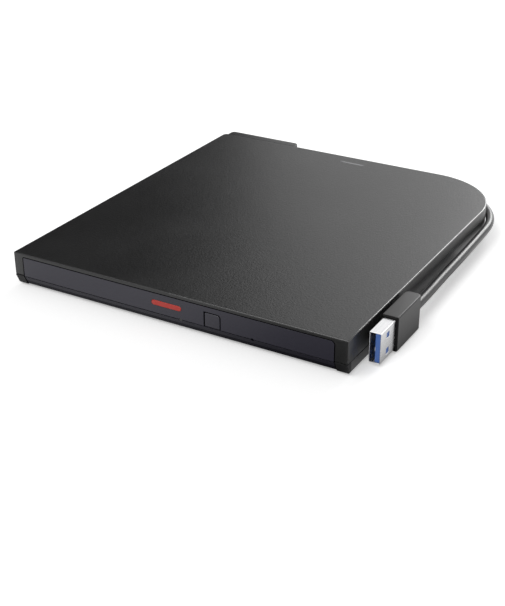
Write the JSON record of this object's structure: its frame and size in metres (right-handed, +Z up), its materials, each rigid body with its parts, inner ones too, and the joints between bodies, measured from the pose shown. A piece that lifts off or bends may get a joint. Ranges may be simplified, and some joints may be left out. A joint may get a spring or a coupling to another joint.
{
  "type": "portable disc drive",
  "caption": "Slim portable disc drive with a sliding tray, spindle and pickup, and a short attached lead stored round the case with its plug at the side.",
  "frame": {"origin": "on the surface it stands on, under the middle of the case and its rear block", "axes": "+X to the right seen from the front, +Y to the back, +Z up; the tray opens towards -Y"},
  "size_m": [0.1527, 0.1651, 0.0146],
  "materials": {
    "case": "satin black, finely textured",
    "base": "satin black",
    "front": "semi-gloss dark grey",
    "accent": "gloss red",
    "button": "semi-gloss dark grey",
    "clear": "clear moulding",
    "rubber": "matt",
    "cord": "semi-gloss black",
    "grip": "matt dark grey",
    "steel": "plain pressed steel",
    "bright": "bright plated",
    "screw": "black oxide",
    "tongue": "satin blue",
    "gilt": "gilt",
    "tray": "satin black",
    "hub": "satin",
    "white": "natural white",
    "sheet": "black lacquered sheet",
    "cast": "grey die-cast",
    "board": "green resist",
    "chip": "moulded black",
    "lens": "coated lens",
    "copper": "wound copper",
    "ribbon": "amber film",
    "wires": "insulated wires",
    "foam": "soft foam"
  },
  "bodies": {
    "enclosure": {"top_cover": "case", "base_cover": "base", "rubber_feet": "rubber", "case_screws": "screw", "rear_block": "case", "cord_gland": "rubber", "usb_cord": "cord", "plug_grip": "grip", "plug_shell": "bright", "plug_tongue": "tongue", "plug_contacts": "gilt", "drive_pan": "steel", "drive_lid": "steel", "guide_left": "white", "guide_right": "white", "drive_board": "board", "drive_chips": "chip", "ribbon_socket": "white", "flex_ribbon": "ribbon", "drive_plug": "chip", "bridge_board": "board", "bridge_socket": "chip", "bridge_chips": "chip", "power_lamp": "white", "light_pipe": "clear", "lead_socket": "white", "lead_wires": "wires", "foam_pads": "foam", "drive_bracket": "steel", "small_screws": "bright", "latch_post": "steel"},
    "rail_left": {"slide_rail_left": "steel"},
    "rail_right": {"slide_rail_right": "steel"},
    "tray": {"disc_tray": "tray", "tray_bezel": "front", "accent_bar": "accent", "indicator_lens": "clear", "front_board": "board", "button_switch": "chip", "traverse_frame": "steel", "traverse_cover": "sheet", "rubber_dampers": "rubber", "damper_screws": "bright", "spindle_motor": "steel", "motor_core": "copper", "guide_rods": "bright", "sled_motor": "steel", "eject_solenoid": "steel", "tray_socket": "white"},
    "button": {"eject_button": "button"},
    "spindle": {"turntable": "hub", "turntable_pad": "rubber"},
    "claw_1": {"disc_claw_1": "white"},
    "claw_2": {"disc_claw_2": "white"},
    "claw_3": {"disc_claw_3": "white"},
    "pickup": {"pickup_sled": "cast"},
    "focus": {"lens_holder": "hub", "pickup_lens": "lens"},
    "screw": {"lead_screw": "bright"},
    "latch": {"latch_lever": "white"}
  },
  "joints": [
    {"name": "tray_slide", "type": "slide", "parent": "enclosure", "child": "tray", "axis": [0, -1, 0], "range_m": [0, 0.124]},
    {"name": "rail_left_slide", "type": "slide", "parent": "enclosure", "child": "rail_left", "axis": [0, -1, 0], "range_m": [0, 0.062]},
    {"name": "rail_right_slide", "type": "slide", "parent": "enclosure", "child": "rail_right", "axis": [0, -1, 0], "range_m": [0, 0.062]},
    {"name": "button_push", "type": "slide", "parent": "tray", "child": "button", "axis": [0, 1, 0], "range_m": [0, 0.0005], "stiffness_N_per_m": 2500},
    {"name": "spindle_turn", "type": "hinge", "parent": "tray", "child": "spindle", "pos_m": [0, -0.019, 0.0085], "axis": [0, 0, 1], "continuous": true},
    {"name": "claw_1_slide", "type": "slide", "parent": "spindle", "child": "claw_1", "axis": [0, -1, 0], "range_m": [0, 0.0005], "stiffness_N_per_m": 1500},
    {"name": "claw_2_slide", "type": "slide", "parent": "spindle", "child": "claw_2", "axis": [0.866, 0.5, 0], "range_m": [0, 0.0005], "stiffness_N_per_m": 1500},
    {"name": "claw_3_slide", "type": "slide", "parent": "spindle", "child": "claw_3", "axis": [-0.866, 0.5, 0], "range_m": [0, 0.0005], "stiffness_N_per_m": 1500},
    {"name": "pickup_slide", "type": "slide", "parent": "tray", "child": "pickup", "axis": [-0.7071, -0.7071, 0], "range_m": [0, 0.0333]},
    {"name": "lens_focus", "type": "slide", "parent": "pickup", "child": "focus", "axis": [0, 0, 1], "range_m": [-0.00025, 0.00025], "stiffness_N_per_m": 60},
    {"name": "screw_turn", "type": "hinge", "parent": "tray", "child": "screw", "pos_m": [0, -0.04304, 0.005], "axis": [-0.7071, -0.7071, 0], "range_deg": [0, 3997]},
    {"name": "latch_hook", "type": "hinge", "parent": "tray", "child": "latch", "pos_m": [0.0532, -0.058, 0.0047], "axis": [0, 0, 1], "range_deg": [-13, 0]}
  ],
  "couplings": [
    {"joint": "rail_left_slide", "follows": "tray_slide", "ratio": 0.5},
    {"joint": "rail_right_slide", "follows": "tray_slide", "ratio": 0.5},
    {"joint": "screw_turn", "follows": "pickup_slide", "rad_per_m": 2094.4}
  ]
}
